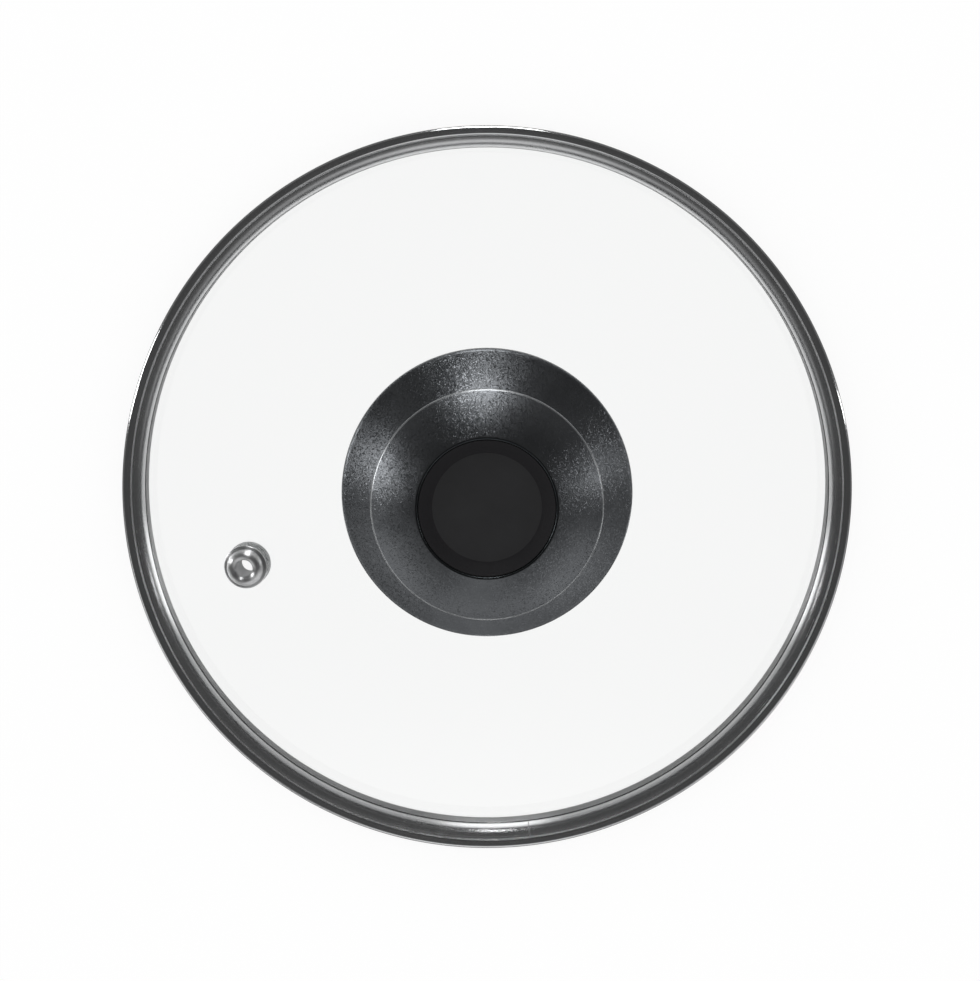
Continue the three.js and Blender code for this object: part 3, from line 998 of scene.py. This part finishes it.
    def build_ribs(self, finish: Material) -> None:
        """Build and dress the ribs that brace the skirt from below.

        Args:
            finish: Their paint.
        """
        inner, sunk = self.boss_radius - self.rib_thickness, 0.6
        hollow_r, hollow_z = self.hollow_top
        (near_r, near_z), (far_r, far_z) = self.hollow_handles
        outline = Outline(
            (inner, self.boss_face + self.rib_thickness / 2),
            (self.skirt_radius - self.skirt_foot_width / 2, self.skirt_foot + self.skirt_foot_round),
            (self.hollow_foot[0] + sunk, self.hollow_foot[1] + 0.9),
        )
        outline.curve((far_r + 0.7, far_z + 0.9), (near_r + 0.9, near_z + 0.8), (hollow_r + 0.4, hollow_z + sunk), 10)
        outline.lines((inner, hollow_z + sunk))
        mesh = outline.close().rounded()
        bmesh.ops.edgeloop_fill(mesh, edges=mesh.edges)
        bmesh.ops.translate(mesh, verts=mesh.verts, vec=(0.0, -self.rib_thickness / 2, 0.0))
        grown = bmesh.ops.extrude_face_region(mesh, geom=list(mesh.faces), use_keep_orig=True)
        moved = [item for item in grown["geom"] if isinstance(item, bmesh.types.BMVert)]
        bmesh.ops.translate(mesh, verts=moved, vec=(0.0, self.rib_thickness, 0.0))
        bmesh.ops.recalc_face_normals(mesh, faces=mesh.faces)
        lower = [
            edge for edge in mesh.edges
            if all(face.normal.z < -0.5 or abs(face.normal.y) > 0.9 for face in edge.link_faces)
            and any(face.normal.z < -0.5 for face in edge.link_faces) and edge.calc_face_angle(0.0) > 1.0
        ]
        bmesh.ops.bevel(
            mesh, geom=lower, offset=0.25, offset_type="OFFSET", segments=3, profile=0.5, affect="EDGES", material=-1,
        )
        more = self.rib_count - 1
        bmesh.ops.spin(
            mesh, geom=[*mesh.verts, *mesh.edges, *mesh.faces], axis=(0.0, 0.0, 1.0),
            angle=math.tau * more / self.rib_count, steps=more, use_duplicate=True,
        )
        bmesh.ops.recalc_face_normals(mesh, faces=mesh.faces)
        dress(as_object(mesh, "knob_ribs"), Slot.KNOB_PLASTIC, [finish])

    def build_cap(self) -> None:
        """Build and dress the matt cap: a sunk floor, a concave border and a raised edge, on a spigot."""
        spigot_inside = self.spigot_radius - self.spigot_wall
        spigot_end = self.cap_underside - self.spigot_length
        mesh = Outline(
            (0.0, self.cap_floor), (self.cap_floor_radius, self.cap_floor, 1.2, 8),
            (self.cap_radius, self.cap_edge, 0.18), (self.cap_radius, self.cap_edge - 1.0, 0.15),
            (self.cap_floor_radius, self.cap_underside), (self.spigot_radius, self.cap_underside),
            (self.spigot_radius, spigot_end, 0.25), (spigot_inside, spigot_end, 0.25),
            (spigot_inside, self.cap_underside, 0.2), (0.0, self.cap_underside),
        ).turned(self.facets_round)
        # The border round the cap's floor takes the painted shade.
        for face, distance, _ in placed_faces(mesh):
            face.material_index = int(distance > self.cap_floor_radius - 0.35)
        finishes = [self.cap_plastic.material(), self.border_shade_plastic.material()]
        dress(as_object(mesh, "knob_cap_matt"), Slot.CAP_PLASTIC, finishes, "knob_cap")

    def build_gasket(self) -> None:
        """Build and dress the soft disc between the knob and the glass."""
        bottom = self.boss_face - self.gasket_thickness
        section = washer(self.gasket_bore, self.gasket_radius, bottom, self.gasket_thickness, self.gasket_round)
        gasket = as_object(section.turned(96), "knob_gasket_soft")
        dress(gasket, Slot.SILICONE, [self.silicone.material()], "knob_gasket")

    def dress_insert(self) -> None:
        """Give the threaded insert, which keeps its own solid, its brass."""
        insert = frame["nodes"]["knob_insert"]
        brass = self.brass.material()
        if not insert.material_slots:
            insert.data.materials.append(brass)
        for place in insert.material_slots:
            place.material = brass
        log.info("knob_insert keeps its solid, in %s", brass.name)

    def build(self) -> None:
        """Build the knob's pieces."""
        finish = self.plastic.material()
        self.build_body(finish)
        self.build_ribs(finish)
        self.build_cap()
        self.build_gasket()
        self.dress_insert()


# ---- Screw and washers ----


@dataclass(frozen=True)
class Layer:
    """A ring in the stack under the glass: its name and solid, its slot, and its sizes."""

    name: str
    solid: str
    slot: Slot
    radius: float
    thickness: float
    bend: float
    facets: int
    slit: float = 0.0


@dataclass
class Fixing:
    """What draws the knob down from below: a cross recess screw, a split washer, a plain washer and a gasket."""

    hole: float = 2.7
    top: float = 9.135
    layers: tuple[Layer, ...] = (
        Layer("lower_gasket_soft", "lower_gasket", Slot.SILICONE, 9.4, 1.0, 0.25, 96),
        Layer("clamp_washer_stamped", "clamp_washer", Slot.WASHER_STEEL, 10.0, 0.8, 0.2, 128),
        Layer("lock_washer_split", "lock_washer", Slot.RIM_STEEL, 4.5, 1.0, 0.12, 90, 0.8),
    )
    head_radius: float = 5.6
    head_height: float = 2.0
    shank_radius: float = 2.4
    shank_top: float = 24.006
    cross_length: float = 5.4
    cross_width: float = 1.1
    cross_depth: float = 1.4
    silicone: SoftSilicone = SoftSilicone("lower gasket silicone")
    washer_steel: Steel = Steel(
        "stamped washer steel", (0.52, 0.525, 0.53), (0.66, 0.665, 0.67), 0.24, 0.38, 0.14, 0.002, 3.0,
    )
    screw_steel: Steel = Steel(
        "headed screw steel", (0.56, 0.565, 0.57), (0.7, 0.705, 0.71), 0.16, 0.28, 0.1, 0.0015, 2.0,
    )

    def build_layer(self, layer: Layer, top: float, finish: Material) -> float:
        """Build and dress one ring.

        Args:
            layer: The ring.
            top: Height of its upper face.
            finish: Its material.

        Returns:
            The height of its underside.
        """
        bottom = top - layer.thickness
        slit = math.degrees(layer.slit / (0.5 * (self.hole + layer.radius)))
        section = washer(self.hole, layer.radius, bottom, layer.thickness, layer.bend)
        mesh = section.turned(layer.facets, FULL_TURN - slit, slit / 2)
        dress(as_object(mesh, layer.name), layer.slot, [finish], layer.solid)
        return bottom

    def build_screw(self, top: float, finish: Material) -> None:
        """Build and dress the screw.

        Args:
            top: Height of the face under its head.
            finish: Its steel.
        """
        bottom, rim, radius = top - self.head_height, top - self.head_height / 4, self.head_radius
        outline = Outline((0.0, bottom))
        outline.curve((ROUND_PULL * radius, bottom), (radius, rim - ROUND_PULL * (rim - bottom)), (radius, rim), 14)
        outline.lines(
            (radius, top, 0.15), (self.shank_radius, top, 0.15), (self.shank_radius, self.shank_top - 0.8),
            (self.shank_radius * 0.7, self.shank_top, 0.2), (0.0, self.shank_top),
        )
        screw = as_object(outline.turned(96), "knob_screw_headed")
        cut(screw, *(self.cross_punch(bottom, quarter) for quarter in (0, 1)))
        dress(screw, Slot.RIM_STEEL, [finish], "knob_screw")

    def cross_punch(self, bottom: float, quarter: int) -> Piece:
        """Make one bar of the punch for the cross recess, narrower where it goes deeper.

        Args:
            bottom: Height of the head's crown.
            quarter: Number of quarter turns.

        Returns:
            The bar.
        """
        mesh = bmesh.new()
        bmesh.ops.create_cube(mesh, size=1.0)
        bmesh.ops.scale(mesh, verts=mesh.verts, vec=(self.cross_length, self.cross_width, 2 * self.cross_depth))
        bmesh.ops.scale(mesh, verts=[vert for vert in mesh.verts if vert.co.z > 0], vec=(0.62, 0.8, 1.0))
        place = Matrix.Translation((0.0, 0.0, bottom)) @ Matrix.Rotation(quarter * math.pi / 2, 4, "Z")
        return as_object(mesh, f"cross_punch_{quarter}", place)

    def build(self) -> None:
        """Build the stack from the glass down."""
        finish, top = self.screw_steel.material(), self.top
        for layer, own in zip(self.layers, (self.silicone.material(), self.washer_steel.material(), finish)):
            top = self.build_layer(layer, top, own)
        self.build_screw(top, finish)


# ---- Studio ----


@dataclass(frozen=True)
class Softbox:
    """A rectangular lamp that faces the lid."""

    name: str
    bearing: float
    elevation: float
    distance: float
    width: float
    height: float
    radiance: float
    in_gloss: bool = True

    def build(self, target: Vector) -> None:
        """Hang the lamp.

        Args:
            target: The point that it faces, in metres.
        """
        lamp = bpy.data.lights.new(self.name, "AREA")
        lamp.shape, lamp.size, lamp.size_y = "RECTANGLE", self.width, self.height
        lamp.energy = self.radiance * math.pi * self.width * self.height
        hung = bpy.data.objects.new(self.name, lamp)
        bearing, elevation = math.radians(self.bearing), math.radians(self.elevation)
        away = Vector((
            math.cos(bearing) * math.cos(elevation), math.sin(bearing) * math.cos(elevation), math.sin(elevation),
        ))
        hung.location = target + away * self.distance
        hung.rotation_euler = away.to_track_quat("Z", "Y").to_euler()
        hung.visible_camera = hung.visible_transmission = False
        hung.visible_glossy, hung.visible_diffuse = self.in_gloss, not self.in_gloss
        bpy.context.scene.collection.objects.link(hung)
        log.info("lamp %s at bearing %.0f, elevation %.0f", self.name, self.bearing, self.elevation)


class Surroundings(Recipe):
    """The world's nodes, added as a material's are."""

    def __init__(self, name: str) -> None:
        """Start an empty world.

        Args:
            name: Name of the world.
        """
        world = bpy.data.worlds.new(name)
        world.use_nodes = True
        bpy.context.scene.world = world
        self.tree = world.node_tree
        self.tree.nodes.clear()
        across, along, self.rise = self.add("SeparateXYZ", {0: self.add("TexCoord").outputs["Generated"]}).outputs
        self.bearing = self.math("ARCTAN2", along, across)

    def height(self, start: float, end: float) -> Socket:
        """Rise from 0 to 1 between two elevations, in degrees."""
        return self.ramp(self.rise, math.sin(math.radians(start)), math.sin(math.radians(end)))

    def sector(self, middle: float, inside: float, outside: float) -> Socket:
        """Fade from 1 to 0 on both sides of a bearing, in degrees."""
        return self.fade(self.bearing, middle, inside, outside)

    def panel(self, strength: float, *masks: Socket) -> Socket:
        """Give a panel's radiance within its masks.

        Args:
            strength: Its radiance.
            masks: Its masks, from 0 to 1.

        Returns:
            The radiance.
        """
        radiance: Any = strength
        for mask in masks:
            radiance = self.math("MULTIPLY", radiance, mask)
        return radiance


@dataclass
class Studio:
    """A pale floor, plain soft light and the camera."""

    lean: float = 8.0
    distance: float = 1287.3
    lens: float = 208.0
    target: tuple[float, float, float] = (0.665, -0.045, 10.2)
    floor_radius: float = 4.0
    floor_seen: float = 0.885
    floor_through_glass: float = 0.965
    floor_shade: float = 0.14
    floor_steep: float = 0.9
    floor_grazing: float = 0.1
    floor_paper: float = 0.8
    seen_by_steel: Point = (0.46, 1.0)
    glint: float = 1.7
    glint_bearings: tuple[float, ...] = (-88.5, -17.5, -164.0)
    glint_sector: Point = (4.0, 12.0)
    surround: float = 0.8
    ceiling: float = 0.055
    room: float = 0.11
    horizon: float = 0.19
    overhead: float = 0.02
    front_band: float = 1.35
    front_glow: float = 0.9
    front_window: float = 0.85
    side_windows: float = 0.45
    softboxes: tuple[Softbox, ...] = (
        Softbox("back panel", 89.5, 11.5, 0.75, 0.24, 0.33, 7.0),
        Softbox("back strip", 91.5, 32.0, 0.75, 0.028, 0.2, 12.0),
        Softbox("left panel", 168.5, 11.5, 0.75, 0.19, 0.33, 6.5),
        Softbox("left strip", 173.0, 31.0, 0.75, 0.026, 0.2, 8.0),
        Softbox("right panel", 6.0, 10.0, 0.75, 0.055, 0.29, 6.5),
        Softbox("right strip", 6.0, 32.0, 0.75, 0.024, 0.2, 7.0),
        Softbox("overhead lamp", 90.0, 88.0, 1.6, 1.2, 1.2, 1.0, False),
    )

    def build_floor(self) -> None:
        """Lay the floor: white as seen and through the glass, darker in the steel, with the lid's shadow on it."""
        mesh = bmesh.new()
        bmesh.ops.create_circle(mesh, cap_ends=True, segments=96, radius=self.floor_radius / MILLIMETRE)
        floor = as_object(mesh, "studio_floor", Matrix.Translation((0.0, 0.0, -0.01)))
        recipe = Recipe("white studio floor")
        path = recipe.add("LightPath").outputs
        seen, through, mirrored = (path[f"Is {kind} Ray"] for kind in ("Camera", "Transmission", "Glossy"))
        grazing = recipe.add("LayerWeight", {"Blend": 0.5}).outputs["Facing"]
        along, across = recipe.add("SeparateXYZ", {0: recipe.place()}).outputs[:2]
        lit = recipe.blend(recipe.ramp(across, -0.06, 0.07), *self.seen_by_steel)
        under_glass = recipe.blend(recipe.ramp(grazing, 0.0, 0.25), 0.75, lit)
        bearing = recipe.math("ARCTAN2", across, along)
        for middle in self.glint_bearings:
            sector = recipe.fade(bearing, middle, *self.glint_sector)
            under_glass = recipe.blend(sector, under_glass, self.glint)
        gloss = recipe.blend(recipe.ramp(grazing, 0.0, 0.3), self.floor_steep, self.floor_grazing)
        after_steel = recipe.math("MINIMUM", path["Glossy Depth"], 1.0)
        glow = recipe.blend(mirrored, 0.0, gloss)
        glow = recipe.blend(through, glow, recipe.blend(after_steel, self.floor_through_glass, under_glass))
        glow = recipe.blend(seen, glow, self.floor_seen)
        plain = recipe.blend(recipe.math("MAXIMUM", mirrored, through), self.floor_paper, 0.0)
        paper = recipe.add("BsdfDiffuse", {"Color": recipe.blend(seen, plain, self.floor_shade)}).outputs[0]
        light = recipe.add("Emission", {"Strength": glow}).outputs[0]
        both = recipe.add("AddShader", {0: paper, 1: light}).outputs[0]
        recipe.feed(recipe.tree.nodes["Material Output"], "Surface", both)
        recipe.tree.nodes.remove(recipe.shader)
        floor.data.materials.append(recipe.material)

    def build_world(self) -> None:
        """Set the surroundings: white behind the lid and through the glass, and in its gloss a dim room."""
        sky = Surroundings("studio")
        gloss: Any = self.ceiling
        for panel in (
            sky.panel(self.room, sky.height(78, 15)),
            sky.panel(self.horizon, sky.height(22, 2)),
            sky.panel(self.overhead, sky.height(52, 74)),
            sky.panel(self.front_band, sky.height(29, 2), sky.sector(-95, 52, 80)),
            sky.panel(self.front_glow, sky.height(18, 26), sky.height(50, 38), sky.sector(-90, 6, 27)),
            sky.panel(self.front_window, sky.height(36, 50), sky.height(71, 52), sky.sector(-90, 8, 52)),
            sky.panel(self.side_windows, sky.height(50, 30), sky.sector(-40, 14, 30)),
            sky.panel(self.side_windows, sky.height(50, 30), sky.sector(-144, 10, 26)),
        ):
            gloss = sky.math("ADD", gloss, panel)
        path = sky.add("LightPath").outputs
        through = sky.math("MAXIMUM", path["Is Camera Ray"], path["Is Transmission Ray"])
        strength = sky.blend(through, sky.blend(path["Is Glossy Ray"], self.surround, gloss), 1.0)
        background = sky.add("Background", {"Strength": strength}).outputs[0]
        sky.add("OutputWorld", {"Surface": background})

    def build_camera(self) -> None:
        """Set the camera almost straight above, leaning to the back."""
        lens = bpy.data.cameras.new("camera")
        lens.lens, lens.sensor_width, lens.sensor_fit = self.lens, 36.0, "HORIZONTAL"
        lens.clip_start, lens.clip_end = 0.05, 20.0
        camera = bpy.data.objects.new("camera", lens)
        lean = math.radians(self.lean)
        away = Vector((0.0, math.sin(lean), math.cos(lean)))
        camera.location = (Vector(self.target) + away * self.distance) * MILLIMETRE
        camera.rotation_euler = (-lean, 0.0, 0.0)
        bpy.context.scene.collection.objects.link(camera)
        bpy.context.scene.camera = camera

    def build(self) -> None:
        """Build the studio."""
        self.build_camera()
        self.build_floor()
        self.build_world()
        for softbox in self.softboxes:
            softbox.build(Vector((0.0, 0.0, 0.01)))
        bpy.context.scene.view_settings.view_transform = "Standard"


# ---- The lid ----


def main() -> None:
    """Build the lid, piece by piece, and the studio round it."""
    logging.basicConfig(level=logging.INFO, format="%(name)s: %(message)s")
    glass = GlassDome()
    glass.build()
    SteelRim().build()
    SteamVent(glass.vent_frame()).build()
    Knob().build()
    Fixing().build()
    Studio().build()


if __name__ == "__main__":
    main()
